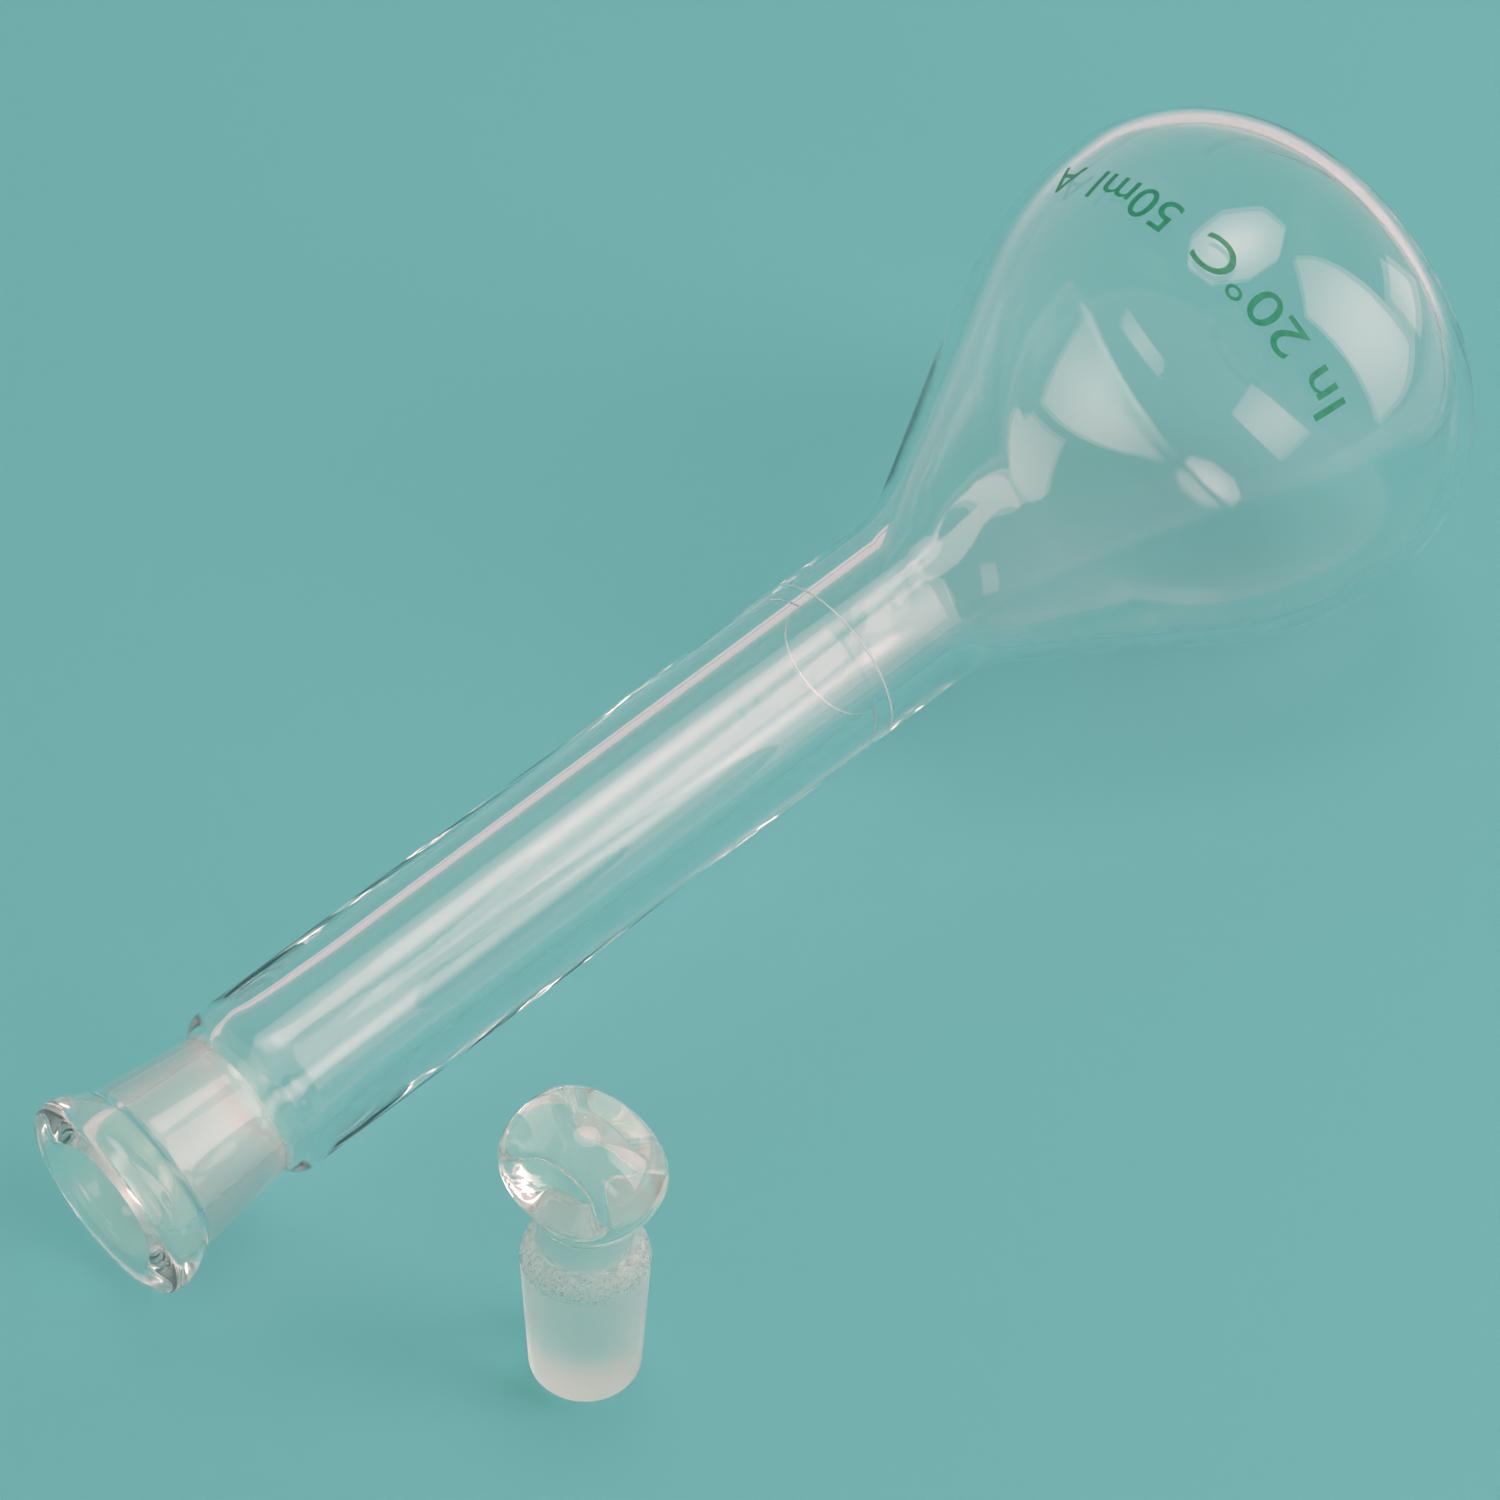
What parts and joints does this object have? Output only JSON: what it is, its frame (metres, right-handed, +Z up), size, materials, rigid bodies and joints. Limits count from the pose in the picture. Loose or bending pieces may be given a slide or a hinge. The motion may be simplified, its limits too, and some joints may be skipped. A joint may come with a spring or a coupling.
{
  "type": "volumetric flask with stopper",
  "caption": "Clear glass volumetric flask with a pear-shaped bulb and a long neck, lying on its side, with its ground-glass penny-head stopper standing beside it.",
  "frame": {"origin": "on the floor, under the middle of the box round the flask and its stopper", "axes": "+X along the lying flask from its mouth to its bulb, +Y away from the stopper, +Z up"},
  "size_m": [0.144, 0.0628, 0.0476],
  "materials": {
    "clear_glass": "clear, polished",
    "ground_glass": "clear outside, ground bore",
    "frosted_glass": "ground plug, clear head"
  },
  "bodies": {
    "flask": {"bulb": "clear_glass", "neck_tube": "clear_glass", "ground_socket": "ground_glass"},
    "stopper": {"stopper": "frosted_glass"}
  },
  "joints": [
    {"name": "stopper_lift", "type": "slide", "parent": "flask", "child": "stopper", "axis": [0, 0, 1], "range_m": [0, 0.06]}
  ]
}
